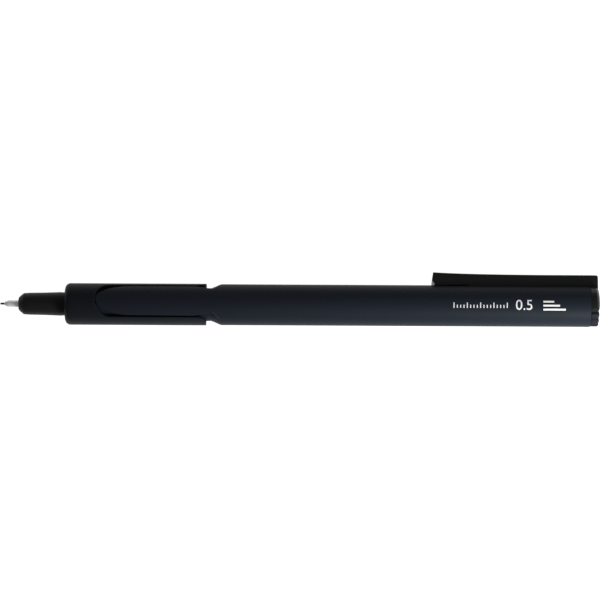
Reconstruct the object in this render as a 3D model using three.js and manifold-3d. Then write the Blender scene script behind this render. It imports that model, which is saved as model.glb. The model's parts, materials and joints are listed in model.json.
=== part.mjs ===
// A 0.5 mm mechanical pencil whose front sleeve is pulled forward to feed the lead.
// It lies at rest on a flat surface, on its front sleeve and the corner of its clip.
//
// Every piece is made in the pencil's own frame: x runs along the axis from the lead's tip (x = 0)
// to the tail, z points through the clip, and y is across the clip. Lengths are in millimetres.

import * as THREE from 'three';
import { mergeVertices } from 'three/addons/utils/BufferGeometryUtils.js';
import Module from 'manifold-3d';

const wasm = await Module();
wasm.setup();

// ---- Driving dimensions ----

const totalLength = 145;
const leadRadius = 0.25;
const leadLength = 60;
const spareLeadCount = 3;

const barrelRadius = 4.96;
const barrelBore = 4.02;
const barrelEnd = 142.6;

const gripRadius = 5.04;
const gripBore = 4.1;
const gripFront = 15.6;
const gripTravel = 4;
const gripFillet = 1.3;

const armHalfWidth = 3.08;
const armEnd = 49.9;
const armCornerRadius = 2.4;
const windowTip = 23.05;
const windowLength = 3.4;
const tongueTip = 23.2;
const tongueTaper = 10;
const tongueHalfHeight = 3.62;

const recessHalfWidth = armHalfWidth + 0.25;
const flareStart = 46.5;
const scoopMiddle = 50.8;
const scoopEnd = 53.8;
const scoopHalfWidth = 3.85;
const rampStart = 51.2;
const rampEnd = 53.5;

const tubeRadius = 3.97;
const tubeBore = 3.15;
const tubeFront = 16.7;
const tubeEnd = 64;

const noseFront = 4.45;
const pipeRadius = 0.85;
const chamberRadius = 1.6;
const chamberEnd = 11.65;
const noseBore = 2.1;
const spigotRadius = 2.78;
const spigotEnd = 20.6;

const jawFront = 11.5;
const stemRadius = 0.95;
const ringFront = 12.4;
const ringBore = 1.36;
const sleeveFront = 14.3;
const sleeveWall = 0.9;

const springRadius = 1.5;
const springWire = 0.15;
const springTurns = 10;

const holderFront = 25.5;
const holderRadius = 2.2;
const tankFront = 27;
const tankEnd = 138;
const tankRadius = 2.75;
const tankBore = 2.25;
const flangeFront = 35;
const pullRingFront = 36.05;
const pullRingEnd = 39.95;
const lugFront = 36.35;
const lugEnd = 39.35;
const lugHalfWidth = 1;
const lugTop = 4.5;

const clipTip = 104.35;
const clipEnd = 142.35;
const clipWidth = 5;
const clipRootHeight = 7.2;
const clipTipHeight = 7.76;
const clipFoot = barrelRadius + 0.03;
const clipWall = 0.75;
const clipEdge = 0.3;
const padEnd = 108.3;

const tailFlutes = 15;
const tailRimEnd = 144.5;
const tailWallEnd = 144.1;
const tailDiscRadius = 1.8;
const tailDiscEnd = 144.9;
const capArchRadius = 9.34;
const capArchTop = -0.36;

const fit = 0.05;
const outerSegments = 64;
const innerSegments = 48;
const smallSegments = 24;
const leadSegments = 12;

// ---- Materials ----

const material = (color, roughness, metalness = 0) =>
  new THREE.MeshStandardMaterial({ color, roughness, metalness });

const blueGreyPlastic = material(0x1b2025, 0.5);
const charcoalPlastic = material(0x16181a, 0.5);
const clipPlastic = material(0x121314, 0.3);
const nosePlastic = material(0x141414, 0.5);
const innerPlastic = material(0xb9bcbd, 0.55);
const whitePlastic = material(0xd9dcdc, 0.5);
const nickel = material(0xb4b2ae, 0.35, 1);
const brassMetal = material(0xb58e45, 0.35, 1);
const springSteel = material(0x9a9c9e, 0.3, 1);
const blackRubber = material(0x1d1d1d, 0.9);
const graphite = material(0x2d2e30, 0.5, 0.2);
const greyPlastic = material(0x9ea3a6, 0.5);

// ---- Shape helpers ----

// A solid of revolution about the x axis, from [x, radius] points that run from the tip to the tail.
function turned(points, segments) {
  const profile = points.map(([x, radius]) => new THREE.Vector2(radius, x));
  return new THREE.LatheGeometry(profile, segments).rotateZ(-Math.PI / 2);
}

// A hollow turned piece, from an outer and an inner profile that both run from the tip to the tail.
function turnedTube(outer, inner, segments) {
  return turned([...outer, ...inner.toReversed(), outer[0]], segments);
}

// A closed outline in x and z, extruded across the pencil from y = from to y = to.
function across(shape, from, to, options = {}) {
  const geometry = new THREE.ExtrudeGeometry(shape, { depth: to - from, bevelEnabled: false, ...options });
  return geometry.translate(0, 0, -to).rotateX(Math.PI / 2);
}

// A closed outline in x and y, extruded along z from z = from to z = to.
function upward(shape, from, to) {
  const options = { depth: to - from, bevelEnabled: false, curveSegments: 16 };
  return new THREE.ExtrudeGeometry(shape, options).translate(0, 0, from);
}

function block(x0, x1, y0, y1, z0, z1) {
  const geometry = new THREE.BoxGeometry(x1 - x0, y1 - y0, z1 - z0);
  return geometry.translate((x0 + x1) / 2, (y0 + y1) / 2, (z0 + z1) / 2);
}

function outline(points) {
  return new THREE.Shape(points.map(([a, b]) => new THREE.Vector2(a, b)));
}

function toSolid(source) {
  const bare = source.clone();
  bare.deleteAttribute('normal');
  bare.deleteAttribute('uv');
  const merged = mergeVertices(bare);
  const corners = merged.index.array;
  const kept = [];
  for (let i = 0; i < corners.length; i += 3) {
    const [a, b, c] = [corners[i], corners[i + 1], corners[i + 2]];
    if (a !== b && b !== c && c !== a) {
      kept.push(a, b, c);
    }
  }
  const mesh = new wasm.Mesh({
    numProp: 3,
    vertProperties: merged.attributes.position.array,
    triVerts: new Uint32Array(kept),
  });
  return new wasm.Manifold(mesh);
}

function toGeometry(solid) {
  const mesh = solid.getMesh();
  const geometry = new THREE.BufferGeometry();
  geometry.setAttribute('position', new THREE.BufferAttribute(mesh.vertProperties, 3));
  geometry.setIndex(new THREE.BufferAttribute(mesh.triVerts, 1));
  return geometry;
}

function cut(geometry, ...tools) {
  return toGeometry(tools.reduce((solid, tool) => solid.subtract(toSolid(tool)), toSolid(geometry)));
}

function join(geometry, ...others) {
  return toGeometry(others.reduce((solid, other) => solid.add(toSolid(other)), toSolid(geometry)));
}

function common(geometry, ...others) {
  return toGeometry(others.reduce((solid, other) => solid.intersect(toSolid(other)), toSolid(geometry)));
}

// The same cutter on both sides of the pencil, turned half a turn about its axis.
function bothSides(geometry) {
  return [geometry, geometry.clone().rotateX(Math.PI)];
}

// ---- Writing end ----

function leadStick(start, length) {
  const chamfer = 0.05;
  return turned([
    [start, 0],
    [start, leadRadius - chamfer],
    [start + chamfer, leadRadius],
    [start + length, leadRadius],
    [start + length, 0],
  ], leadSegments);
}

function tipPipe() {
  const bore = leadRadius + fit;
  const flangeStart = noseFront + 0.9;
  const flangeEnd = flangeStart + 0.6;
  const flangeRadius = chamberRadius - fit;
  return turnedTube([
    [1, 0.45],
    [1.95, pipeRadius],
    [flangeStart, pipeRadius],
    [flangeStart, flangeRadius],
    [flangeEnd, flangeRadius],
  ], [[1, bore], [flangeEnd, bore]], smallSegments);
}

function leadRetainer() {
  const front = noseFront + 1.55;
  const rear = front + 1.2;
  const outer = chamberRadius - fit;
  const bore = leadRadius + 0.02;
  return turnedTube([[front, outer], [rear, outer]], [[front, bore], [rear, bore]], smallSegments);
}

function noseCone() {
  const pipeHole = pipeRadius + fit;
  const chamberFront = noseFront + 0.85;
  const neckRadius = 2.65;
  return turnedTube([
    [noseFront, 1.5],
    [4.9, 1.95],
    [5.7, 2.5],
    [7.1, 2.6],
    [10.8, 2.66],
    [12.9, 2.74],
    [14.75, 2.82],
    [14.95, neckRadius],
    [15.45, neckRadius],
    [15.7, spigotRadius],
    [spigotEnd, spigotRadius],
  ], [
    [noseFront, pipeHole],
    [chamberFront, pipeHole],
    [chamberFront, chamberRadius],
    [chamberEnd, chamberRadius],
    [chamberEnd, noseBore],
    [spigotEnd, noseBore],
  ], innerSegments);
}

// ---- Chuck and feed ----

// Brass collet: the jaws widen towards the tip, and three slits let them close on the lead.
function chuck() {
  const jawRadius = 1.5;
  const bore = leadRadius + 0.02;
  const stemEnd = 29;
  const slitEnd = 20;
  const slitWidth = 0.2;
  const body = turnedTube([
    [jawFront, jawRadius - 0.15],
    [jawFront + 0.15, jawRadius],
    [jawFront + 0.6, jawRadius],
    [ringFront + 1.5, stemRadius],
    [stemEnd, stemRadius],
  ], [[jawFront, bore], [stemEnd, bore]], smallSegments);
  const slits = [0, 1, 2].map((turn) => {
    const slit = block(jawFront - 1, slitEnd, -slitWidth / 2, slitWidth / 2, 0, 2);
    return slit.rotateX(turn * 2 * Math.PI / 3);
  });
  return cut(body, ...slits);
}

// The ring that squeezes the jaws shut until it meets the shoulder inside the nose.
function chuckRing() {
  const outer = 1.85;
  const rear = sleeveFront - fit;
  return turnedTube(
    [[ringFront, outer - 0.1], [ringFront + 0.1, outer], [rear, outer]],
    [[ringFront, ringBore + 0.15], [ringFront + 0.5, ringBore], [rear, ringBore]],
    smallSegments,
  );
}

function chuckSleeve() {
  const outer = noseBore - fit;
  const stemHole = 1.15;
  const bore = 1.78;
  const flangeRadius = 2.8;
  const flangeStart = spigotEnd + fit;
  const rear = flangeStart + 0.65;
  const innerFront = sleeveFront + sleeveWall;
  return turnedTube([
    [sleeveFront, outer],
    [flangeStart, outer],
    [flangeStart, flangeRadius],
    [rear, flangeRadius],
  ], [
    [sleeveFront, stemHole],
    [innerFront, stemHole],
    [innerFront, bore],
    [rear, bore],
  ], innerSegments);
}

class SpringPath extends THREE.Curve {
  constructor(start, end, radius, turns) {
    super();
    Object.assign(this, { start, end, radius, turns });
  }

  getPoint(t, target = new THREE.Vector3()) {
    const angle = 2 * Math.PI * this.turns * t;
    const x = THREE.MathUtils.lerp(this.start, this.end, t);
    return target.set(x, this.radius * Math.cos(angle), this.radius * Math.sin(angle));
  }
}

function mainSpring() {
  const start = sleeveFront + sleeveWall + springWire + fit;
  const end = holderFront - springWire - fit;
  const wire = new THREE.Shape().absarc(0, 0, springWire, 0, 2 * Math.PI);
  return new THREE.ExtrudeGeometry(wire, {
    steps: springTurns * 12,
    curveSegments: 3,
    bevelEnabled: false,
    extrudePath: new SpringPath(start, end, springRadius, springTurns),
  });
}

function chuckHolder() {
  const seatEnd = 29.1;
  const rear = 33;
  return turnedTube(
    [[holderFront, holderRadius - 0.2], [holderFront + 0.2, holderRadius], [rear, holderRadius]],
    [
      [holderFront, stemRadius + fit],
      [seatEnd, stemRadius + fit],
      [seatEnd, 0.5],
      [rear - 1, 0.5],
      [rear, 1.6],
    ],
    smallSegments,
  );
}

function leadTank() {
  const flangeRadius = tubeBore - 0.1;
  const flangeEnd = flangeFront + 1;
  return turnedTube([
    [tankFront, tankRadius],
    [flangeFront, tankRadius],
    [flangeFront, flangeRadius],
    [flangeEnd, flangeRadius],
    [flangeEnd, tankRadius],
    [tankEnd, tankRadius],
  ], [[tankFront, tankBore], [tankEnd, tankBore]], innerSegments);
}

// Carries the pull of the sleeve to the lead tank, by two lugs that stand in the sleeve's arms.
function pullRing() {
  const outer = tubeBore - 0.07;
  const bore = tankRadius + fit;
  const body = turnedTube(
    [[pullRingFront, outer], [pullRingEnd, outer]],
    [[pullRingFront, bore], [pullRingEnd, bore]],
    innerSegments,
  );
  const lug = block(lugFront, lugEnd, -lugHalfWidth, lugHalfWidth, bore + 0.15, lugTop);
  return join(body, ...bothSides(lug));
}

// ---- Body ----

// Inner tube that joins the nose to the barrel. The pull ring's lugs run in its two slots.
function frontTube() {
  const seatEnd = 21.4;
  const collarBore = holderRadius + 0.12;
  const body = turnedTube([
    [tubeFront, tubeRadius - 0.2],
    [tubeFront + 0.2, tubeRadius],
    [tubeEnd, tubeRadius],
  ], [
    [tubeFront, 2.85],
    [seatEnd, 2.85],
    [seatEnd, collarBore],
    [seatEnd + 1, collarBore],
    [seatEnd + 1, tubeBore],
    [tubeEnd, tubeBore],
  ], outerSegments);
  const play = 0.15;
  const slotStart = lugFront - gripTravel - play;
  const slotHalfWidth = lugHalfWidth + play;
  const slot = block(slotStart, lugEnd + play, -slotHalfWidth, slotHalfWidth, 0, barrelRadius);
  return cut(body, ...bothSides(slot));
}

// The outline of an arm seen from the clip's side: the full sleeve, then a narrower arm.
function armOutline() {
  const cornerStart = armEnd - armCornerRadius;
  const halfFlat = armHalfWidth - armCornerRadius;
  const wide = 2 * gripRadius;
  const shape = new THREE.Shape();
  shape.moveTo(gripFront - 1, -wide);
  shape.lineTo(windowTip + windowLength, -wide);
  shape.lineTo(windowTip + windowLength, -armHalfWidth);
  shape.lineTo(cornerStart, -armHalfWidth);
  shape.absarc(cornerStart, -halfFlat, armCornerRadius, -Math.PI / 2, 0);
  shape.absarc(cornerStart, halfFlat, armCornerRadius, 0, Math.PI / 2);
  shape.lineTo(windowTip + windowLength, armHalfWidth);
  shape.lineTo(windowTip + windowLength, wide);
  shape.lineTo(gripFront - 1, wide);
  return shape;
}

// The rounded front of a side window, seen from the side: half an ellipse that opens to the tail.
function windowOutline() {
  const halfHeight = Math.sqrt(gripRadius ** 2 - armHalfWidth ** 2);
  const centre = windowTip + windowLength;
  return new THREE.Shape().absellipse(centre, 0, windowLength, halfHeight, Math.PI / 2, 3 * Math.PI / 2);
}

function gripFilletPoints() {
  const steps = 5;
  const centreX = gripFront + 0.25 + gripFillet;
  const centreRadius = gripRadius - gripFillet;
  return Array.from({ length: steps + 1 }, (_, i) => {
    const angle = (i / steps) * Math.PI / 2;
    return [centreX - gripFillet * Math.cos(angle), centreRadius + gripFillet * Math.sin(angle)];
  });
}

function slideGrip() {
  const noseHole = 2.95;
  const wallEnd = gripFront + 1;
  const shell = turnedTube(
    [[gripFront, noseHole + 0.05], ...gripFilletPoints(), [armEnd, gripRadius]],
    [[gripFront, noseHole], [wallEnd, noseHole], [wallEnd, gripBore], [armEnd, gripBore]],
    outerSegments,
  );
  const arms = common(shell, upward(armOutline(), -2 * gripRadius, 2 * gripRadius));
  const window = across(windowOutline(), armHalfWidth, 2 * gripRadius, { curveSegments: 24 });
  const play = 0.1;
  const pocketHalfWidth = lugHalfWidth + play;
  const pocket = block(lugFront - play, lugEnd + play, -pocketHalfWidth, pocketHalfWidth, 0, lugTop + play);
  return cut(arms, ...bothSides(window), ...bothSides(pocket));
}

// Space in the barrel for one arm. It widens behind the arm's end into a rounded scoop for a
// fingertip, whose floor climbs to the barrel's surface.
function armRecess() {
  const front = windowTip - 1;
  const bend = 2;
  const plan = new THREE.Shape();
  plan.moveTo(front, -recessHalfWidth);
  plan.lineTo(flareStart, -recessHalfWidth);
  plan.bezierCurveTo(
    flareStart + bend, -recessHalfWidth,
    scoopMiddle - bend, -scoopHalfWidth,
    scoopMiddle, -scoopHalfWidth,
  );
  const quarter = Math.PI / 2;
  plan.absellipse(scoopMiddle, 0, scoopEnd - scoopMiddle, scoopHalfWidth, -quarter, quarter);
  plan.bezierCurveTo(
    scoopMiddle - bend, scoopHalfWidth,
    flareStart + bend, recessHalfWidth,
    flareStart, recessHalfWidth,
  );
  plan.lineTo(front, recessHalfWidth);
  const floorRadius = barrelBore - 0.02;
  const floor = turned([
    [front - 1, 0],
    [front - 1, floorRadius],
    [rampStart, floorRadius],
    [rampEnd, barrelRadius],
    [rampEnd + 1, barrelRadius + 0.4],
    [rampEnd + 1, 0],
  ], outerSegments);
  return cut(upward(plan, 0, 2 * barrelRadius), floor);
}

// Everything in front of a tongue's rounded end, seen from the side.
function tongueTipOutline() {
  const taperEnd = tongueTip + tongueTaper;
  const far = 2 * barrelRadius;
  const shape = new THREE.Shape();
  shape.moveTo(tongueTip - 1, -far);
  shape.lineTo(taperEnd, -far);
  shape.lineTo(taperEnd, -tongueHalfHeight);
  shape.absellipse(taperEnd, 0, tongueTaper, tongueHalfHeight, -Math.PI / 2, -3 * Math.PI / 2, true);
  shape.lineTo(taperEnd, far);
  shape.lineTo(tongueTip - 1, far);
  return shape;
}

// The barrel and the two tongues that reach forward between the sleeve's arms.
function barrel() {
  const shell = turnedTube(
    [[tongueTip, barrelRadius], [barrelEnd, barrelRadius]],
    [[tongueTip, barrelBore], [barrelEnd, barrelBore]],
    outerSegments,
  );
  const far = 2 * barrelRadius;
  const tipCutter = across(tongueTipOutline(), -far, far, { curveSegments: 24 });
  return cut(shell, ...bothSides(armRecess()), tipCutter);
}

// ---- Tail and clip ----

// A closed end with a plain spigot. Its lower half is a fluted rim for a fingernail, and its upper
// half is covered by the clip's cap.
function tailPlug() {
  const spigotStart = 132;
  const rimFront = barrelEnd + fit;
  const capSeat = 3.9;
  const wallFront = 141;
  const tankHole = tankRadius + 0.1;
  const core = turned([
    [wallFront, 0],
    [wallFront, tankHole],
    [spigotStart, tankHole],
    [spigotStart, tubeRadius],
    [rimFront, tubeRadius],
    [rimFront, capSeat],
    [tailWallEnd, capSeat],
    [tailWallEnd, 0],
  ], innerSegments);
  const flutedRim = common(flutedDisc(rimFront, tailRimEnd), belowCap(2 * fit));
  const seatRadius = tailDiscRadius + fit;
  const seat = turned([
    [tailWallEnd, 0],
    [tailWallEnd, seatRadius],
    [totalLength + 1, seatRadius],
    [totalLength + 1, 0],
  ], smallSegments);
  return cut(join(core, flutedRim), seat);
}

// The space below the arched lower edge of the clip's cap, less a clearance.
function belowCap(clearance) {
  const radius = capArchRadius - clearance;
  const arch = turned([[130, 0], [130, radius], [150, radius], [150, 0]], 256);
  return arch.translate(0, 0, capArchTop - capArchRadius);
}

function flutedDisc(front, rear) {
  const fluteDepth = 0.22;
  const count = tailFlutes * 6;
  const points = Array.from({ length: count }, (_, i) => {
    const angle = (i / count) * 2 * Math.PI;
    const radius = barrelRadius - 0.08 - fluteDepth * (0.5 - 0.5 * Math.cos(tailFlutes * angle)) ** 2;
    return [radius * Math.cos(angle), radius * Math.sin(angle)];
  });
  const geometry = new THREE.ExtrudeGeometry(outline(points), { depth: rear - front, bevelEnabled: false });
  return geometry.rotateY(Math.PI / 2).translate(front, 0, 0);
}

// A light disc let into the tail. The clip's cap hides its upper half.
function tailDisc() {
  const front = tailWallEnd + fit;
  const disc = turned([
    [front, 0],
    [front, tailDiscRadius],
    [tailDiscEnd - 0.2, tailDiscRadius],
    [tailDiscEnd, tailDiscRadius - 0.2],
    [tailDiscEnd, 0],
  ], smallSegments);
  return common(disc, belowCap(2 * fit));
}

// A domed cap over the upper half of the tail, with the block that the clip's blade grows from.
function clipRoot() {
  const front = barrelEnd + fit;
  const dome = turned([
    [front, 0],
    [front, barrelRadius],
    [143.9, barrelRadius],
    [144.3, 4.78],
    [144.55, 4.3],
    [144.8, 3.1],
    [144.93, 2.2],
    [totalLength, 1.5],
    [totalLength, 0],
  ], outerSegments);
  const halfWidth = clipWidth / 2;
  const rootBlock = block(front, tailRimEnd, -halfWidth, halfWidth, 4, clipRootHeight);
  const seat = 3.95;
  const seatEnd = tailWallEnd + fit;
  const inside = turned([[130, 0], [130, seat], [seatEnd, seat], [seatEnd, 0]], outerSegments);
  return cut(join(dome, rootBlock), inside, belowCap(0));
}

// Side view of the blade: a straight back, a flared tip, and a low arch behind the pad.
function clipOutline() {
  const archFoot = clipFoot + 0.18;
  const archEnd = padEnd + 4;
  const shape = new THREE.Shape();
  shape.moveTo(clipEnd, clipFoot);
  shape.lineTo(clipEnd, clipRootHeight);
  shape.lineTo(clipTip + 25.7, clipRootHeight);
  shape.quadraticCurveTo(clipTip + 6.7, clipRootHeight + 0.1, clipTip + 0.3, clipTipHeight);
  shape.lineTo(clipTip, 5.7);
  shape.lineTo(clipTip + 0.8, clipFoot);
  shape.lineTo(padEnd - 0.4, clipFoot);
  shape.lineTo(padEnd + 0.4, archFoot);
  shape.lineTo(archEnd, archFoot);
  shape.lineTo(archEnd + 2, clipFoot);
  return shape;
}

// A channel-shaped blade, whose solid pad under the tip lies just off the barrel.
function clip() {
  const half = clipWidth / 2 - clipEdge;
  const blade = across(clipOutline(), -half, half, {
    bevelEnabled: true,
    bevelSize: clipEdge,
    bevelThickness: clipEdge,
    bevelOffset: -clipEdge,
    bevelSegments: 3,
    curveSegments: 6,
  });
  const channelHalf = clipWidth / 2 - clipWall;
  const channelTop = clipRootHeight - 0.9;
  const channelEnd = clipEnd - 2;
  const channel = block(padEnd, channelEnd, -channelHalf, channelHalf, 4, channelTop);
  return cut(blade, channel);
}

// ---- Assembly ----

function named(name, geometry, surface) {
  const mesh = new THREE.Mesh(geometry, surface);
  mesh.name = name;
  return mesh;
}

function spareLead(number) {
  const spacing = THREE.MathUtils.degToRad(22);
  const angle = spacing * (number - (spareLeadCount - 1) / 2) - restAngle;
  const ring = tankBore - leadRadius - 0.06;
  const mesh = named(`spare_lead_${number + 1}`, leadStick(66 + 2 * number, leadLength), graphite);
  mesh.position.set(0, ring * Math.cos(angle), ring * Math.sin(angle));
  return mesh;
}

// How far below the horizontal the clip points when the pencil rests on its sleeve and on the
// rounded corner of the clip's tip. The corner's centre is cornerY across and cornerZ up.
const cornerY = clipWidth / 2 - clipEdge;
const cornerZ = clipTipHeight - clipEdge;
const reach = Math.asin((gripRadius - clipEdge) / Math.hypot(cornerY, cornerZ));
const restAngle = reach - Math.atan2(cornerY, cornerZ);

const pencil = new THREE.Group();
pencil.add(
  named('lead', leadStick(0, leadLength), graphite),
  named('tip_pipe', tipPipe(), nickel),
  named('lead_retainer', leadRetainer(), blackRubber),
  named('nose_cone', noseCone(), nosePlastic),
  named('chuck', chuck(), brassMetal),
  named('chuck_ring', chuckRing(), brassMetal),
  named('chuck_sleeve', chuckSleeve(), brassMetal),
  named('main_spring', mainSpring(), springSteel),
  named('chuck_holder', chuckHolder(), whitePlastic),
  named('lead_tank', leadTank(), whitePlastic),
  named('pull_ring', pullRing(), innerPlastic),
  named('front_tube', frontTube(), charcoalPlastic),
  named('slide_grip', slideGrip(), charcoalPlastic),
  named('barrel', barrel(), blueGreyPlastic),
  named('tail_plug', tailPlug(), charcoalPlastic),
  named('tail_disc', tailDisc(), greyPlastic),
  named('clip_root', clipRoot(), clipPlastic),
  named('clip', clip(), clipPlastic),
);
for (let number = 0; number < spareLeadCount; number += 1) {
  pencil.add(spareLead(number));
}

// The clip turns to +Y and down to the surface, and the middle of the pencil's footprint is the origin.
pencil.rotation.x = -(Math.PI / 2 + restAngle);
const extent = new THREE.Box3().setFromObject(pencil, true);
const middle = extent.getCenter(new THREE.Vector3());
pencil.position.set(-middle.x, -middle.y, -extent.min.z);

const model = new THREE.Group();
model.add(pencil);

export default model;
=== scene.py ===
import json
import math

import bmesh
import bpy
from mathutils import Matrix, Vector


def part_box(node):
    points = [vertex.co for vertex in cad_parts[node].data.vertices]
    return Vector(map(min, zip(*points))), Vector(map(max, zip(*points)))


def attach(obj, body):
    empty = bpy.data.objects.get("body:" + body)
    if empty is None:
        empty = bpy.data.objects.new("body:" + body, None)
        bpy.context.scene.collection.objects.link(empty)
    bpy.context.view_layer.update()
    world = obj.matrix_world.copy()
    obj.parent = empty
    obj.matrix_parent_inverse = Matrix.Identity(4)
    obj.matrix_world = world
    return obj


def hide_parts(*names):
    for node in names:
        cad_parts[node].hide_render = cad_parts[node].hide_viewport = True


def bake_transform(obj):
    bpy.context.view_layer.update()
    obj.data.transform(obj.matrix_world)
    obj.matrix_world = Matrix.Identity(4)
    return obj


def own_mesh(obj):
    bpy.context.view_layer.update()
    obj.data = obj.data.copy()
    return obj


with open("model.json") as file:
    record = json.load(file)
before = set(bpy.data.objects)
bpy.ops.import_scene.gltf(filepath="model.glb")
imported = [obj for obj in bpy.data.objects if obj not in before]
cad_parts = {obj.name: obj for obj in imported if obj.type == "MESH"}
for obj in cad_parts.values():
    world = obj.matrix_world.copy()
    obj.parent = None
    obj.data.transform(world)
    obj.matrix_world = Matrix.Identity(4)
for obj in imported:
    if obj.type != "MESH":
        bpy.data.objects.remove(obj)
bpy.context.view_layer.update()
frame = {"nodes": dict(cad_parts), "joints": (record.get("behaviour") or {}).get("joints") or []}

# Every piece is modelled in millimetres in the pencil's own frame: x runs from the lead's tip to
# the tail, z points through the clip and y across it. TO_ROW takes it to the row's, in metres.


def joint(name):
    return next(j for j in frame["joints"] if j["name"] == name)


def own_frame():
    low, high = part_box("lead")
    along = Vector((1, 0, 0))
    across = Vector(joint("clip_flex")["axis"])
    turn = Matrix((along, across, along.cross(across))).transposed().to_4x4()
    middle = (low + high) / 2
    return Matrix.Translation((low.x, middle.y, middle.z)) @ turn @ Matrix.Scale(0.001, 4)


TO_ROW = own_frame()
TO_OWN = TO_ROW.inverted()


class Span:
    """Where a CAD node starts and ends along the pencil, and its largest radius, in millimetres."""

    def __init__(self, node):
        points = [TO_OWN @ v.co for v in frame["nodes"][node].data.vertices]
        self.start = min(p.x for p in points)
        self.end = max(p.x for p in points)
        self.radius = max(math.hypot(p.y, p.z) for p in points)
        self.top = max(p.z for p in points)


LEAD = Span("lead")
PIPE = Span("tip_pipe")
NOSE = Span("nose_cone")
GRIP = Span("slide_grip")
TUBE = Span("front_tube")
BARREL = Span("barrel")
PLUG = Span("tail_plug")
DISC = Span("tail_disc")
ROOT = Span("clip_root")
CLIP = Span("clip")
SPRING = Span("main_spring")

BARREL_BORE = 4.02
GRIP_BORE = 4.1
GRIP_NOSE_HOLE = 2.95
ARM_HALF = 3.08
RECESS_HALF = 3.33
ARM_CORNER = 2.7
WINDOW_TIP = 23.05
WINDOW_LENGTH = 3.4
TONGUE_TAPER = 8.5
TONGUE_HALF = 3.62
FLARE_START = 46.5
SCOOP_MIDDLE = 50.8
SCOOP_END = 53.8
SCOOP_HALF = 3.85
RAMP_START = 51.2
RAMP_END = 53.5
CLIP_HALF = 2.5
CAP_ARCH = 9.34
CAP_ARCH_TOP = -0.36
COLUMNS = 190
SHARP = math.radians(35)


# ---- Modelling ----


def rounded(corners, closed=True):
    """An outline from corners (a, b, radius), each rounded off with an arc of its radius."""
    count = len(corners)
    outline = []
    for i, (a, b, radius) in enumerate(corners):
        here = Vector((a, b))
        if not radius or (not closed and i in (0, count - 1)):
            outline.append(here)
            continue
        back = (Vector(corners[i - 1][:2]) - here).normalized()
        ahead = (Vector(corners[(i + 1) % count][:2]) - here).normalized()
        half = back.angle(ahead) / 2
        centre = here + (back + ahead).normalized() * (radius / math.sin(half))
        first = here + back * (radius / math.tan(half)) - centre
        last = here + ahead * (radius / math.tan(half)) - centre
        sweep = math.atan2(first.cross(last), first.dot(last))
        steps = max(3, round(abs(sweep) / math.radians(9)))
        for k in range(steps + 1):
            outline.append(centre + Matrix.Rotation(sweep * k / steps, 2) @ first)
    return outline


def spin_profile(bm, outline, closed, columns=COLUMNS):
    """Turns an outline of (x, radius) points once round the pencil's axis."""
    verts = [bm.verts.new((x, 0, radius)) for x, radius in outline]
    pairs = list(zip(verts, verts[1:]))
    if closed:
        pairs.append((verts[-1], verts[0]))
    edges = [bm.edges.new(pair) for pair in pairs]
    bmesh.ops.spin(
        bm, geom=verts + edges, cent=(0, 0, 0), axis=(1, 0, 0),
        angle=math.tau, steps=columns, use_merge=True,
    )


def turned(corners, closed=True, columns=COLUMNS):
    """A turned piece from the corners (x, radius, rounding) of its section."""
    bm = bmesh.new()
    spin_profile(bm, rounded(corners, closed), closed, columns)
    return tidy(bm)


def tube(outer, inner, columns=COLUMNS):
    """A hollow turned piece, from outer and inner corners that both run from tip to tail."""
    return turned(outer + inner[::-1], columns=columns)


def tidy(bm):
    bmesh.ops.remove_doubles(bm, verts=bm.verts, dist=1e-4)
    bmesh.ops.dissolve_degenerate(bm, dist=1e-5, edges=bm.edges)
    bmesh.ops.recalc_face_normals(bm, faces=bm.faces)
    return bm


def block(low, high):
    """A box between two corners, used as a cutter."""
    bm = bmesh.new()
    size = Vector(high) - Vector(low)
    bmesh.ops.create_cube(bm, size=1)
    bmesh.ops.scale(bm, vec=size, verts=bm.verts)
    bmesh.ops.translate(bm, vec=(Vector(high) + Vector(low)) / 2, verts=bm.verts)
    return bm


def as_object(bm, name):
    mesh = bpy.data.meshes.new(name)
    bm.to_mesh(mesh)
    bm.free()
    made = bpy.data.objects.new(name, mesh)
    bpy.context.collection.objects.link(made)
    return made


def combine(bm, *others, operation):
    """Joins or cuts one closed mesh with others."""
    body = as_object(bm, "work")
    tools = [as_object(other, "tool") for other in others]
    for tool in tools:
        change = body.modifiers.new("change", "BOOLEAN")
        change.operation = operation
        change.solver = "EXACT"
        change.object = tool
    ready = body.evaluated_get(bpy.context.evaluated_depsgraph_get())
    result = bmesh.new()
    result.from_mesh(ready.to_mesh())
    ready.to_mesh_clear()
    for spent in [body, *tools]:
        mesh = spent.data
        bpy.data.objects.remove(spent)
        bpy.data.meshes.remove(mesh)
    return result


def slab(outline, thickness, edge, open_at):
    """A flat plate below z = 0 with its upper edges rounded over.

    open_at(*points) is true on the lines where the plate runs on into more of the same wall."""
    bm = bmesh.new()
    face = bm.faces.new([bm.verts.new((x, y, 0)) for x, y in outline])
    lower = bmesh.ops.extrude_face_region(bm, geom=[face])["geom"]
    lower_verts = [g for g in lower if isinstance(g, bmesh.types.BMVert)]
    bmesh.ops.translate(bm, vec=(0, 0, -thickness), verts=lower_verts)
    rim = [
        e for e in bm.edges
        if all(v.co.z > -1e-6 for v in e.verts) and not open_at(e.verts[0].co, e.verts[1].co)
    ]
    bmesh.ops.bevel(
        bm, geom=rim, offset=edge, offset_type="OFFSET", segments=3,
        profile=0.5, affect="EDGES", material=-1, clamp_overlap=False,
    )
    ends = [f for f in bm.faces if abs(f.normal.z) < 0.5 and open_at(*[v.co for v in f.verts])]
    bmesh.ops.delete(bm, geom=ends, context="FACES_ONLY")
    return bm


def open_lines(join_x, half_turn):
    """A test for points that all lie on the join to the turned part, or all on the seam."""

    def open_at(*points):
        return (
            all(abs(p.x - join_x) < 1e-4 for p in points)
            or all(abs(abs(p.y) - half_turn) < 1e-4 for p in points)
        )

    return open_at


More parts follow.
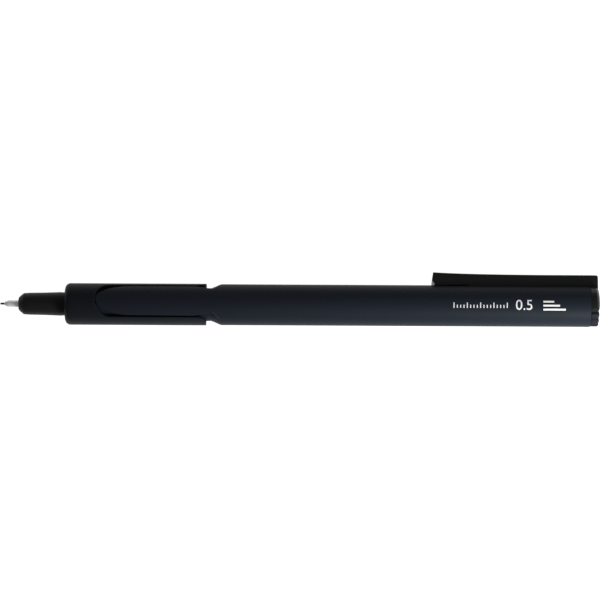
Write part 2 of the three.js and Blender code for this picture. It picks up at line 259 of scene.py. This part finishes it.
def slice_at(bm, places, normal):
    """Cuts a mesh by parallel planes, so that it can be bent."""
    for place in places:
        bmesh.ops.bisect_plane(
            bm, geom=bm.verts[:] + bm.edges[:] + bm.faces[:], dist=1e-5,
            plane_co=Vector(normal) * place, plane_no=normal,
        )


def into_rings(bm, low, high, step):
    """Cuts a mesh across the pencil, so that its long faces shade evenly."""
    count = math.ceil((high - low) / step)
    slice_at(bm, [low + (high - low) * k / count for k in range(1, count)], (1, 0, 0))


def into_columns(bm, radius):
    half_turn = math.pi * radius
    places = [half_turn * (2 * k / COLUMNS - 1) for k in range(1, COLUMNS)]
    slice_at(bm, places, (0, 1, 0))


def roll(bm, radius):
    """Wraps a flat plate round the axis. Its upper face comes to lie at the radius."""
    for v in bm.verts:
        angle = v.co.y / radius
        reach = radius + v.co.z
        v.co = (v.co.x, reach * math.sin(angle), reach * math.cos(angle))


def piece(name, bm, body, finish, slot, *nodes):
    """Places a finished mesh in the row's frame. Where it has one body, it rides on that."""
    tidy(bm)
    bm.transform(TO_ROW)
    made = as_object(bm, name)
    made.data.shade_smooth()
    made.data.set_sharp_from_angle(angle=SHARP)
    made.data.materials.append(finish)
    shading = made.modifiers.new("even_shading", "WEIGHTED_NORMAL")
    shading.keep_sharp = True
    if body:
        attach(made, body)
    if nodes:
        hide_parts(*nodes)
    return made


# ---- Finishes ----


class Signal:
    """An output socket of a material's nodes, which can be used in sums."""

    def __init__(self, paint, socket):
        self.paint = paint
        self.socket = socket

    def maths(self, operation, first, second):
        return self.paint.node("ShaderNodeMath", {"operation": operation}, {0: first, 1: second})

    def __add__(self, other):
        return self.maths("ADD", self, other)

    __radd__ = __add__

    def __sub__(self, other):
        return self.maths("SUBTRACT", self, other)

    def __rsub__(self, other):
        return self.maths("SUBTRACT", other, self)

    def __mul__(self, other):
        return self.maths("MULTIPLY", self, other)

    __rmul__ = __mul__


class Paint:
    """A material whose nodes are added one by one."""

    def __init__(self, name, **constants):
        self.material = bpy.data.materials.new(name)
        self.material.use_nodes = True
        self.tree = self.material.node_tree
        self.shader = self.tree.nodes["Principled BSDF"]
        self.place = self.node("ShaderNodeTexCoord", output="Object")
        self.set(**constants)

    def node(self, kind, settings=None, inputs=None, output=0):
        made = self.tree.nodes.new(kind)
        for key, value in (settings or {}).items():
            setattr(made, key, value)
        for key, value in (inputs or {}).items():
            self.plug(made.inputs[key], value)
        return Signal(self, made.outputs[output])

    def plug(self, socket, value):
        if isinstance(value, Signal):
            self.tree.links.new(value.socket, socket)
        else:
            socket.default_value = value

    def set(self, **values):
        """Sets the shader's sockets, named with underscores for spaces."""
        for key, value in values.items():
            socket = key.replace("_", " ").title().replace("Ior", "IOR")
            self.plug(self.shader.inputs[socket], value)

    def noise(self, size, detail=2.0, stretch=(1, 1, 1)):
        """Soft noise whose features are about size millimetres across."""
        scale = [1000 / size / s for s in stretch]
        spread = self.node("ShaderNodeMapping", None, {"Vector": self.place, "Scale": scale})
        sockets = {"Vector": spread, "Scale": 1.0, "Detail": detail}
        return self.node("ShaderNodeTexNoise", None, sockets)

    def ramp(self, signal, low, high):
        """A signal stretched so that low becomes 0 and high becomes 1."""
        sockets = {0: signal, 1: low, 2: high, 3: 0.0, 4: 1.0}
        return self.node("ShaderNodeMapRange", {"clamp": True}, sockets)

    def mix(self, factor, first, second):
        return self.node(
            "ShaderNodeMix", {"data_type": "RGBA"}, {0: factor, 6: first, 7: second}, output=2
        )

    def bump(self, height, depth):
        """Relief whose full height is depth millimetres."""
        sockets = {"Height": height, "Distance": depth / 1000}
        return self.node("ShaderNodeBump", None, sockets)


def grey(value, tint=(1, 1, 1)):
    return (*[value * t for t in tint], 1)


def moulded(name, colour, roughness, specular):
    """Satin moulded plastic: a fine spark-eroded grain, faint flow marks and shiny edges."""
    paint = Paint(name, specular_ior_level=specular)
    speck = paint.noise(0.09, detail=3)
    cloud = paint.noise(4, detail=3, stretch=(4, 1, 1))
    edge = paint.ramp(paint.node("ShaderNodeNewGeometry", output="Pointiness"), 0.52, 0.6)
    lighter = tuple(min(1, c * 1.35) for c in colour[:3]) + (1,)
    worn = tuple(min(1, c * 2.0) for c in colour[:3]) + (1,)
    tone = paint.mix(paint.ramp(speck, 0.35, 0.75) * 0.5 + cloud * 0.3, colour, lighter)
    paint.set(
        base_color=paint.mix(edge * 0.5, tone, worn),
        roughness=roughness + 0.1 * (cloud - 0.5) + 0.08 * (speck - 0.5) - 0.08 * edge,
        normal=paint.bump(speck, 0.004),
    )
    return paint.material


def glossy(name, colour, roughness):
    """Semi-gloss moulded plastic with faint handling marks along the pencil."""
    paint = Paint(name, specular_ior_level=0.22)
    scuff = paint.noise(0.25, detail=4, stretch=(30, 1, 1))
    swell = paint.noise(3, detail=1)
    paint.set(
        base_color=paint.mix(paint.ramp(scuff, 0.55, 0.8) * 0.4, colour, grey(0.022)),
        roughness=roughness + 0.12 * paint.ramp(scuff, 0.5, 0.8),
        normal=paint.bump(swell, 0.01),
    )
    return paint.material


def turned_metal(name, colour, roughness, ring=0.12, metallic=1.0):
    """Metal with the fine rings that a cutting tool leaves round it."""
    paint = Paint(name, metallic=metallic)
    rings = paint.noise(ring, detail=2, stretch=(1, 60, 60))
    dulled = paint.noise(0.8, detail=3)
    darker = tuple(c * 0.7 for c in colour[:3]) + (1,)
    paint.set(
        base_color=paint.mix(paint.ramp(dulled, 0.4, 0.8) * 0.5, colour, darker),
        roughness=roughness + 0.15 * (rings - 0.5) + 0.1 * dulled,
        normal=paint.bump(rings, 0.003),
    )
    return paint.material


def graphite():
    """Extruded lead: dark grey with a metallic bloom and fine drag lines along it."""
    paint = Paint("graphite", metallic=0.4)
    drag = paint.noise(0.05, detail=2, stretch=(20, 1, 1))
    paint.set(
        base_color=paint.mix(drag, grey(0.035), grey(0.08)),
        roughness=0.4 + 0.2 * drag,
        normal=paint.bump(drag, 0.002),
    )
    return paint.material


def soft_rubber():
    paint = Paint("retainer_rubber", specular_ior_level=0.2)
    dust = paint.noise(0.15, detail=4)
    paint.set(
        base_color=paint.mix(dust, grey(0.012), grey(0.03)),
        roughness=0.8 + 0.15 * dust,
        normal=paint.bump(dust, 0.006),
    )
    return paint.material


def natural_plastic(name, colour):
    """Unpainted light plastic, smooth, with faint flow clouds."""
    paint = Paint(name, specular_ior_level=0.4)
    cloud = paint.noise(2.5, detail=3)
    speck = paint.noise(0.12, detail=2)
    darker = tuple(c * 0.86 for c in colour[:3]) + (1,)
    paint.set(
        base_color=paint.mix(cloud, colour, darker),
        roughness=0.38 + 0.1 * cloud,
        normal=paint.bump(speck, 0.002),
    )
    return paint.material


def print_ink():
    paint = Paint("white_print", specular_ior_level=0.3)
    cover = paint.noise(0.12, detail=3)
    paint.set(
        base_color=paint.mix(paint.ramp(cover, 0.3, 0.7), grey(0.6), grey(0.85)),
        roughness=0.45 + 0.15 * cover,
    )
    return paint.material


BARREL_SATIN = moulded("blue_grey_satin", (0.0098, 0.0132, 0.019, 1), 0.5, specular=0.08)
GRIP_SATIN = moulded("charcoal_satin", (0.0072, 0.0088, 0.012, 1), 0.5, specular=0.08)
NOSE_SATIN = moulded("nose_black", (0.009, 0.0092, 0.0098, 1), 0.48, specular=0.12)
INNER_SATIN = moulded("inner_black", (0.0075, 0.0115, 0.0175, 1), 0.55, specular=0.08)
CLIP_GLOSS = glossy("clip_black", (0.0075, 0.0075, 0.008, 1), 0.3)
NICKEL = turned_metal("satin_nickel", (0.9, 0.88, 0.86, 1), 0.45, metallic=0.4)
BRASS = turned_metal("turned_brass", (0.68, 0.47, 0.18, 1), 0.25)
SPRING_STEEL = turned_metal("spring_wire", (0.55, 0.55, 0.57, 1), 0.25, ring=0.05)
GRAPHITE = graphite()
RUBBER = soft_rubber()
WHITE_PLASTIC = natural_plastic("tank_white", (0.7, 0.72, 0.72, 1))
# The tail disc's light grey is partly its own colour and partly a painted highlight, standing in
# for the light that the tail's domed end catches.
GREY_DISC_AND_HIGHLIGHT = natural_plastic("disc_grey_and_highlight", (0.42, 0.44, 0.46, 1))
INK = print_ink()


# ---- Writing end ----


def make_lead():
    bm = turned([
        (LEAD.start, 0, 0),
        (LEAD.start, LEAD.radius, 0.06),
        (LEAD.end, LEAD.radius, 0.02),
        (LEAD.end, 0, 0),
    ], closed=False, columns=48)
    piece("lead_refill", bm, "lead", GRAPHITE, "graphite", "lead")


def make_tip_pipe():
    shoulder = PIPE.end - 0.6
    bore = LEAD.radius + 0.05
    bm = tube([
        (PIPE.start, 0.45, 0.05),
        (1.95, 0.85, 0.25),
        (shoulder, 0.85, 0),
        (shoulder, PIPE.radius, 0.1),
        (PIPE.end, PIPE.radius, 0.1),
    ], [(PIPE.start, bore, 0.02), (PIPE.end, bore, 0)], columns=96)
    piece("guide_pipe", bm, "barrel", NICKEL, "nickel", "tip_pipe")


def make_nose():
    chamber = NOSE.start + 0.85
    bm = tube([
        (NOSE.start, 1.5, 0.12),
        (4.9, 1.95, 0.3),
        (5.7, 2.58, 0.25),
        (7.1, 2.67, 2),
        (10.8, 2.73, 0),
        (14.75, 2.87, 0.1),
        (14.92, 2.82, 0.03),
        (15.5, 2.82, 0.1),
        (16.2, 2.78, 0),
        (NOSE.end, 2.78, 0.1),
    ], [
        (NOSE.start, 0.9, 0.05),
        (chamber, 0.9, 0),
        (chamber, 1.6, 0),
        (11.65, 1.6, 0),
        (11.65, 2.1, 0),
        (NOSE.end, 2.1, 0.05),
    ])
    piece("nose", bm, "barrel", NOSE_SATIN, "nose_plastic", "nose_cone")


def make_spring():
    """The return spring, modelled at its resting length; the real one shortens as the grip is
    pulled towards the tip.
    """
    wire, coil, turns = 0.15, 1.5, 10
    steps = turns * 32
    reach = SPRING.end - SPRING.start - 2 * wire
    bm = bmesh.new()
    stand = Matrix.Translation((SPRING.start + wire, 0, coil))
    stand = stand @ Matrix.Rotation(math.radians(90), 4, "X")
    bmesh.ops.create_circle(bm, segments=12, radius=wire, matrix=stand)
    bmesh.ops.spin(
        bm, geom=bm.verts[:] + bm.edges[:], cent=(0, 0, 0), axis=(1, 0, 0),
        dvec=(reach / steps, 0, 0), angle=math.tau * turns, steps=steps,
    )
    bmesh.ops.holes_fill(bm, edges=[e for e in bm.edges if e.is_boundary])
    made = piece("return_spring", bm, "barrel", SPRING_STEEL, "spring_steel", "main_spring")
    travel = 1000 * joint("grip_pull")["range_m"][1]
    keep = 1 - travel / (SPRING.end - SPRING.start)
    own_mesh(made)


# ---- Sliding grip ----


def grip_outline(join_x):
    """The grip's wall unrolled: a full band that splits into two arms between two side windows."""
    radius = GRIP.radius
    half_turn = math.pi * radius
    arm = radius * math.asin(ARM_HALF / radius)
    window_end = WINDOW_TIP + WINDOW_LENGTH

    def arm_end(middle, sides):
        return [(GRIP.end, middle + side * arm, ARM_CORNER) for side in sides]

    def window(middle):
        height = math.sqrt(radius ** 2 - ARM_HALF ** 2)
        curve = []
        for k in range(49):
            turn = math.radians(-90 + 180 * k / 48)
            side = radius * math.asin(height * math.sin(turn) / radius)
            curve.append((window_end - WINDOW_LENGTH * math.cos(turn), middle + side, 0))
        return curve

    return rounded([
        (join_x, half_turn, 0),
        (join_x, -half_turn, 0),
        (GRIP.end, -half_turn, 0),
        *arm_end(-half_turn, [1]),
        *window(-half_turn / 2),
        *arm_end(0, [-1, 1]),
        *window(half_turn / 2),
        *arm_end(half_turn, [-1]),
        (GRIP.end, half_turn, 0),
    ])


def make_grip():
    join_x = 19.0
    half_turn = math.pi * GRIP.radius
    open_at = open_lines(join_x, half_turn)
    bm = slab(grip_outline(join_x), GRIP.radius - GRIP_BORE, 0.14, open_at)
    into_rings(bm, join_x, GRIP.end - 3, 1.2)
    into_columns(bm, GRIP.radius)
    roll(bm, GRIP.radius)
    spin_profile(bm, rounded([
        (join_x, GRIP_BORE, 0),
        (GRIP.start + 1, GRIP_BORE, 0.2),
        (GRIP.start + 1, GRIP_NOSE_HOLE, 0.05),
        (GRIP.start, GRIP_NOSE_HOLE, 0.15),
        (GRIP.start + 0.3, GRIP.radius, 1.3),
        (join_x, GRIP.radius, 0),
    ], closed=False), closed=False)
    piece("sliding_grip", bm, "slider", GRIP_SATIN, "grip_plastic", "slide_grip")


# ---- Barrel ----


def tongue(middle):
    """One tongue of the unrolled barrel, from one side of its base round its tip to the other."""
    radius = BARREL.radius
    curve = []
    for k in range(61):
        turn = math.radians(90 - 180 * k / 60)
        side = radius * math.asin(TONGUE_HALF * math.sin(turn) / radius)
        curve.append((BARREL.start + TONGUE_TAPER * (1 - math.cos(turn)), middle + side, 0))
    return curve


def recess_half(x):
    """Half the width of an arm's recess: straight, flaring, then rounding off the scoop."""
    if x < SCOOP_MIDDLE:
        t = max(0, (x - FLARE_START) / (SCOOP_MIDDLE - FLARE_START))
        return RECESS_HALF + (SCOOP_HALF - RECESS_HALF) * t * t * (3 - 2 * t)
    along = min(1, (x - SCOOP_MIDDLE) / (SCOOP_END - SCOOP_MIDDLE))
    return SCOOP_HALF * math.sqrt(1 - along * along)


def recess_side(middle, side):
    """One side of the recess, from the straight stretch to the foot of the ramp."""
    radius = BARREL.radius
    steps = 16
    curve = []
    for k in range(steps + 1):
        x = FLARE_START + (RAMP_START - FLARE_START) * k / steps
        curve.append((x, middle + side * radius * math.asin(recess_half(x) / radius), 0))
    return curve


def barrel_outline(join_x):
    half_turn = math.pi * BARREL.radius
    return rounded([
        (join_x, -half_turn, 0),
        (join_x, half_turn, 0),
        (RAMP_START, half_turn, 0),
        *recess_side(half_turn, -1)[::-1],
        *tongue(half_turn / 2),
        *recess_side(0, 1),
        *recess_side(0, -1)[::-1],
        *tongue(-half_turn / 2),
        *recess_side(-half_turn, 1),
        (RAMP_START, -half_turn, 0),
    ])


def smooth(t):
    t = min(1, max(0, t))
    return t * t * (3 - 2 * t)


def scoop(bm):
    """Presses the two finger scoops into the upper face of the unrolled barrel."""
    radius = BARREL.radius
    lowest = BARREL_BORE + 0.03 - radius
    soft_edge = 0.7
    for v in bm.verts:
        if v.co.z < -0.5 or v.co.x < RAMP_START - 1e-4:
            continue
        angle = abs(v.co.y / radius)
        width = radius * math.sin(min(angle, math.pi - angle))
        inside = smooth((recess_half(v.co.x) - width) / soft_edge + 0.5)
        along = (v.co.x - RAMP_START) / (RAMP_END - RAMP_START)
        rise = 0.7 * along + 0.3 * smooth(along)
        v.co.z = max(lowest, v.co.z + inside * lowest * (1 - min(1, rise)))


def make_barrel():
    join_x = RAMP_END + 0.9
    half_turn = math.pi * BARREL.radius
    open_at = open_lines(join_x, half_turn)
    bm = slab(barrel_outline(join_x), BARREL.radius - BARREL_BORE, 0.1, open_at)
    into_rings(bm, BARREL.start + TONGUE_TAPER, RAMP_START, 1.2)
    into_rings(bm, RAMP_START, join_x, 0.1)
    into_columns(bm, BARREL.radius)
    scoop(bm)
    roll(bm, BARREL.radius)
    spin_profile(bm, rounded([
        (join_x, BARREL.radius, 0),
        (BARREL.end, BARREL.radius, 0.12),
        (BARREL.end, BARREL_BORE, 0.05),
        (join_x, BARREL_BORE, 0),
    ], closed=False), closed=False)
    piece("barrel_body", bm, "barrel", BARREL_SATIN, "barrel_plastic", "barrel")


def make_front_tube():
    seat_end = 21.4
    bm = tube([
        (TUBE.start, TUBE.radius, 0.2),
        (TUBE.end, TUBE.radius, 0.1),
    ], [
        (TUBE.start, 2.85, 0.1),
        (seat_end, 2.85, 0),
        (seat_end, 2.32, 0.05),
        (seat_end + 1, 2.32, 0.05),
        (seat_end + 1, 3.15, 0),
        (TUBE.end, 3.15, 0.05),
    ])
    slot_start, slot_end, slot_half = 32.2, 39.5, 1.15
    slots = [
        block((slot_start, -slot_half, 0.5), (slot_end, slot_half, 6)),
        block((slot_start, -slot_half, -6), (slot_end, slot_half, -0.5)),
    ]
    bm = combine(bm, *slots, operation="DIFFERENCE")
    piece("inner_front_tube", bm, "barrel", INNER_SATIN, "inner_plastic", "front_tube")


# ---- Tail and clip ----


def below_cap(clearance):
    """The space below the arched lower edge of the clip's cap."""
    front, rear = 130, 150
    bm = turned([
        (front, 0, 0),
        (front, CAP_ARCH - clearance, 0),
        (rear, CAP_ARCH - clearance, 0),
        (rear, 0, 0),
    ], closed=False, columns=768)
    bmesh.ops.translate(bm, vec=(0, 0, CAP_ARCH_TOP - CAP_ARCH), verts=bm.verts)
    return bm


def plug(start, end, radius):
    """A plain round cutter."""
    return turned([(start, 0, 0), (start, radius, 0), (end, radius, 0), (end, 0, 0)], closed=False)


def make_tail_plug():
    pocket, spigot_bore, spigot, wall_end = 141, 2.85, 3.97, 144.1
    rear = PLUG.end + 0.08
    joint_x = BARREL.end + 0.05
    core = turned([
        (pocket, 0, 0),
        (pocket, spigot_bore, 0),
        (PLUG.start, spigot_bore, 0.1),
        (PLUG.start, spigot, 0.2),
        (joint_x, spigot, 0),
        (joint_x, 3.9, 0),
        (wall_end, 3.9, 0.1),
        (wall_end, 0, 0),
    ], closed=False)
    rim = turned([
        (joint_x, 0, 0),
        (joint_x, PLUG.radius, 0.08),
        (rear - 0.25, PLUG.radius, 0.15),
        (rear, PLUG.radius - 0.25, 0.2),
        (rear, 3, 0),
        (rear, 0, 0),
    ], closed=False, columns=360)
    flute(rim, 15, 0.38)
    rim = combine(rim, below_cap(0.1), operation="INTERSECT")
    bm = combine(core, rim, operation="UNION")
    bm = combine(bm, plug(wall_end, 146, DISC.radius + 0.05), operation="DIFFERENCE")
    piece("fluted_plug", bm, "tail", GRIP_SATIN, "grip_plastic", "tail_plug")


def flute(bm, count, depth):
    """Presses grooves that run along the rim and over its rounded rear edge."""
    inner = 2.2
    for v in bm.verts:
        reach = math.hypot(v.co.y, v.co.z)
        if reach < inner:
            continue
        groove = (0.5 - 0.5 * math.cos(count * math.atan2(v.co.y, -v.co.z))) ** 2
        fade = smooth((reach - inner) / 1.5)
        shrink = 1 - fade * depth * groove / reach
        v.co.y *= shrink
        v.co.z *= shrink
        if v.co.x > PLUG.end - 0.8:
            v.co.x -= fade * groove * depth * 0.6


def make_tail_disc():
    # A light grey disc at the tail's centre; its lightness is partly a painted highlight.
    disc = turned([
        (DISC.start, 0, 0),
        (DISC.start, DISC.radius, 0.05),
        (DISC.end, DISC.radius, 0.2),
        (DISC.end, 0.9, 0),
        (DISC.end - 0.12, 0.75, 0.1),
        (DISC.end - 0.12, 0, 0),
    ], closed=False, columns=96)
    bm = combine(disc, below_cap(0.1), operation="INTERSECT")
    piece("tail_disc_half", bm, "tail", GREY_DISC_AND_HIGHLIGHT, "grey_plastic", "tail_disc")


def clip_side():
    """The clip from the side: straight back, flared tip, pad, low arch and root."""
    tip, back = CLIP.start, ROOT.top
    front = BARREL.end + 0.07
    pull = [
        Vector((tip + 25.7, back)),
        Vector((tip + 6.7, back + 0.1)),
        Vector((tip + 0.3, CLIP.top)),
    ]
    flare = []
    for k in range(24):
        t = k / 24
        flare.append(pull[0] * (1 - t) ** 2 + pull[1] * 2 * t * (1 - t) + pull[2] * t * t)
    return rounded([
        (front, 3, 0),
        (PLUG.end, 3, 0),
        (PLUG.end, back, 0.42),
        *[(p.x, p.y, 0) for p in flare],
        (tip + 0.3, CLIP.top, 0.12),
        (tip, 5.65, 0.2),
        (tip + 1.15, 4.5, 0.3),
        (tip + 3.6, 4.5, 0.3),
        (tip + 4.4, 4.62, 0.4),
        (tip + 8, 4.62, 1.5),
        (tip + 10, 4.2, 1.5),
        (front, 4.2, 0),
    ])


def bevel_sides(bm, offset, segments, low, high):
    """Rounds the outline's edges on both sides of the clip, where they lie between two heights."""
    edges = [
        e for e in bm.edges
        if abs(e.verts[0].co.y - e.verts[1].co.y) < 1e-6
        and all(abs(abs(v.co.y) - CLIP_HALF) < 1e-6 for v in e.verts)
        and all(low < v.co.z < high for v in e.verts)
    ]
    bmesh.ops.bevel(
        bm, geom=edges, offset=offset, offset_type="OFFSET", segments=segments,
        profile=0.5, affect="EDGES", material=-1, clamp_overlap=True,
    )


def make_clip():
    """The clip's blade and the domed cap that it grows from are one springy moulding."""
    tip = CLIP.start
    pad_end = tip + 4
    wall = 0.75
    clearance = 5.0
    bend_steps = 12
    blade = bmesh.new()
    side = blade.faces.new([blade.verts.new((p.x, -CLIP_HALF, p.y)) for p in clip_side()])
    other = bmesh.ops.extrude_face_region(blade, geom=[side])["geom"]
    moved = [g for g in other if isinstance(g, bmesh.types.BMVert)]
    bmesh.ops.translate(blade, vec=(0, 2 * CLIP_HALF, 0), verts=moved)
    bevel_sides(blade, 0.3, 6, 6.5, 9)
    bevel_sides(blade, 0.15, 3, 4.4, 6.5)
    tidy(blade)
    channel = block(
        (pad_end, wall - CLIP_HALF, 3.5),
        (CLIP.end - 2, CLIP_HALF - wall, ROOT.top - 0.9),
    )
    barrel_space = turned([
        (tip - 1, 0, 0),
        (tip - 1, clearance, 0),
        (BARREL.end + 0.03, clearance, 0),
        (BARREL.end + 0.03, 0, 0),
    ], closed=False)
    blade = combine(blade, barrel_space, operation="DIFFERENCE")
    blade = combine(blade, channel, operation="DIFFERENCE")
    front = BARREL.end + 0.05
    dome = turned([
        (front, 0, 0),
        (front, BARREL.radius, 0.06),
        (144.05, BARREL.radius, 0.5),
        (144.6, 4.3, 0.9),
        (144.85, 3.1, 2),
        (145, 1.5, 1),
        (145, 0, 0),
    ], closed=False)
    bm = combine(blade, dome, operation="UNION")
    bm = combine(bm, plug(140, 144.15, 3.95), operation="DIFFERENCE")
    bm = combine(bm, below_cap(0), operation="DIFFERENCE")
    bend_start, bend_end = BARREL.end, CLIP.end - 1.2
    reach = bend_start - bend_end
    places = [bend_end + reach * k / bend_steps for k in range(bend_steps + 1)]
    slice_at(bm, places, (1, 0, 0))
    made = piece("clip_moulding", bm, None, CLIP_GLOSS, "clip_plastic", "clip_root", "clip")
    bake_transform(made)


# ---- Print ----


def filled_text(body, size):
    """Flat numerals as a mesh, starting at the origin."""
    curve = bpy.data.curves.new("numerals", "FONT")
    curve.body = body
    curve.size = size
    curve.align_y = "CENTER"
    curve.resolution_u = 6
    writing = bpy.data.objects.new("numerals", curve)
    bpy.context.collection.objects.link(writing)
    ready = writing.evaluated_get(bpy.context.evaluated_depsgraph_get())
    bm = bmesh.new()
    bm.from_mesh(ready.to_mesh())
    ready.to_mesh_clear()
    bpy.data.objects.remove(writing)
    bpy.data.curves.remove(curve)
    return bm


def bar(bm, x, y, width, height):
    corners = [(x, y), (x + width, y), (x + width, y + height), (x, y + height)]
    bm.faces.new([bm.verts.new((a, b, 0)) for a, b in corners])


def make_print():
    """The lead's size in white after a short scale of ticks, wrapped on the barrel."""
    scale_start, scale_end, tick_count = 109.4, 122.2, 17
    numerals_start = 124.3
    bars_start, bar_gap = 6.7, 0.95
    longest, shorter, bar_height = 5.4, 1.4, 0.45
    thin = 0.012
    middle = -math.radians(102.4)
    bm = filled_text("0.5", 3.5)
    bmesh.ops.translate(bm, vec=(numerals_start, 0, 0), verts=bm.verts)
    for k in range(tick_count):
        tall = 1.3 if k % 4 == 0 else 0.75
        x = scale_start + (scale_end - scale_start) * k / (tick_count - 1)
        bar(bm, x, -0.65, 0.24, tall)
    for k in range(3):
        y = -1.2 + bar_gap * k
        bar(bm, numerals_start + bars_start, y, longest - shorter * k, bar_height)
    slice_at(bm, [k * 0.25 for k in range(-10, 11)], (0, 1, 0))
    skin = bmesh.ops.extrude_face_region(bm, geom=bm.faces[:])["geom"]
    raised = [g for g in skin if isinstance(g, bmesh.types.BMVert)]
    bmesh.ops.translate(bm, vec=(0, 0, thin), verts=raised)
    for v in bm.verts:
        angle = middle + v.co.y / BARREL.radius
        reach = BARREL.radius + v.co.z - thin / 4
        v.co = (v.co.x, reach * math.sin(angle), reach * math.cos(angle))
    piece("size_mark", bm, "barrel", INK, "white_plastic")


# ---- Scene ----


def make_floor():
    bm = bmesh.new()
    bmesh.ops.create_circle(bm, cap_ends=True, segments=64, radius=3)
    floor = as_object(bm, "floor")
    floor.location.z = -0.00002
    paint = Paint("pale_floor", roughness=0.9, specular_ior_level=0.0)
    paint.set(base_color=grey(0.2), emission_color=grey(1.0), emission_strength=1.0)
    floor.data.materials.append(paint.material)


def make_light(name, place, aim, size, power):
    light = bpy.data.lights.new(name, "AREA")
    light.shape = "RECTANGLE"
    light.size, light.size_y = size
    light.energy = power
    made = bpy.data.objects.new(name, light)
    made.location = place
    made.rotation_euler = (Vector(aim) - Vector(place)).to_track_quat("-Z", "Y").to_euler()
    bpy.context.collection.objects.link(made)


def make_lights():
    ambient = 0.22
    make_light("softbox", (0.14, -0.11, 0.12), aim=(0.065, 0, 0), size=(0.07, 0.09), power=0.62)
    world = bpy.data.worlds.new("studio")
    world.use_nodes = True
    world.node_tree.nodes["Background"].inputs["Color"].default_value = grey(1.0)
    world.node_tree.nodes["Background"].inputs["Strength"].default_value = ambient
    bpy.context.scene.world = world


def make_camera():
    """A long lens, almost straight above the pencil and a little to the clip's side."""
    lens = bpy.data.cameras.new("camera")
    lens.lens = 180
    lens.sensor_width = 36
    camera = bpy.data.objects.new("camera", lens)
    bpy.context.collection.objects.link(camera)
    seen_roll = math.radians(14.7)
    seen_level = math.radians(0.29)
    seen_width, seen_rise = 0.1452, 0.00123
    clip_way = Vector(TO_ROW.to_3x3() @ Vector((0, 0, 1))).normalized()
    across = Vector(TO_ROW.to_3x3() @ Vector((0, -1, 0))).normalized()
    out = across * math.cos(seen_roll) - clip_way * math.sin(seen_roll)
    up = across * math.sin(seen_roll) + clip_way * math.cos(seen_roll)
    right = up.cross(out)
    level = Matrix.Rotation(seen_level, 3, out)
    right, up = level @ right, level @ up
    distance = seen_width * lens.lens / lens.sensor_width
    middle = TO_ROW @ Vector((72.5, 0, 0)) + up * seen_rise
    turn = Matrix((right, up, out)).transposed().to_4x4()
    camera.matrix_world = Matrix.Translation(middle + out * distance) @ turn
    lens.clip_start = 0.01
    lens.clip_end = 10
    bpy.context.scene.camera = camera
    bpy.context.scene.view_settings.view_transform = "Standard"


def make_inner_finishes():
    for node, finish in {
        "lead_retainer": RUBBER,
        "chuck": BRASS,
        "chuck_ring": BRASS,
        "chuck_sleeve": BRASS,
        "chuck_holder": WHITE_PLASTIC,
        "lead_tank": WHITE_PLASTIC,
        "pull_ring": INNER_SATIN,
        "spare_lead_1": GRAPHITE,
        "spare_lead_2": GRAPHITE,
        "spare_lead_3": GRAPHITE,
    }.items():
        for slot in frame["nodes"][node].material_slots:
            slot.material = finish


make_camera()
make_lead()
make_tip_pipe()
make_nose()
make_spring()
make_grip()
make_barrel()
make_front_tube()
make_tail_plug()
make_tail_disc()
make_clip()
make_print()
make_inner_finishes()
make_floor()
make_lights()
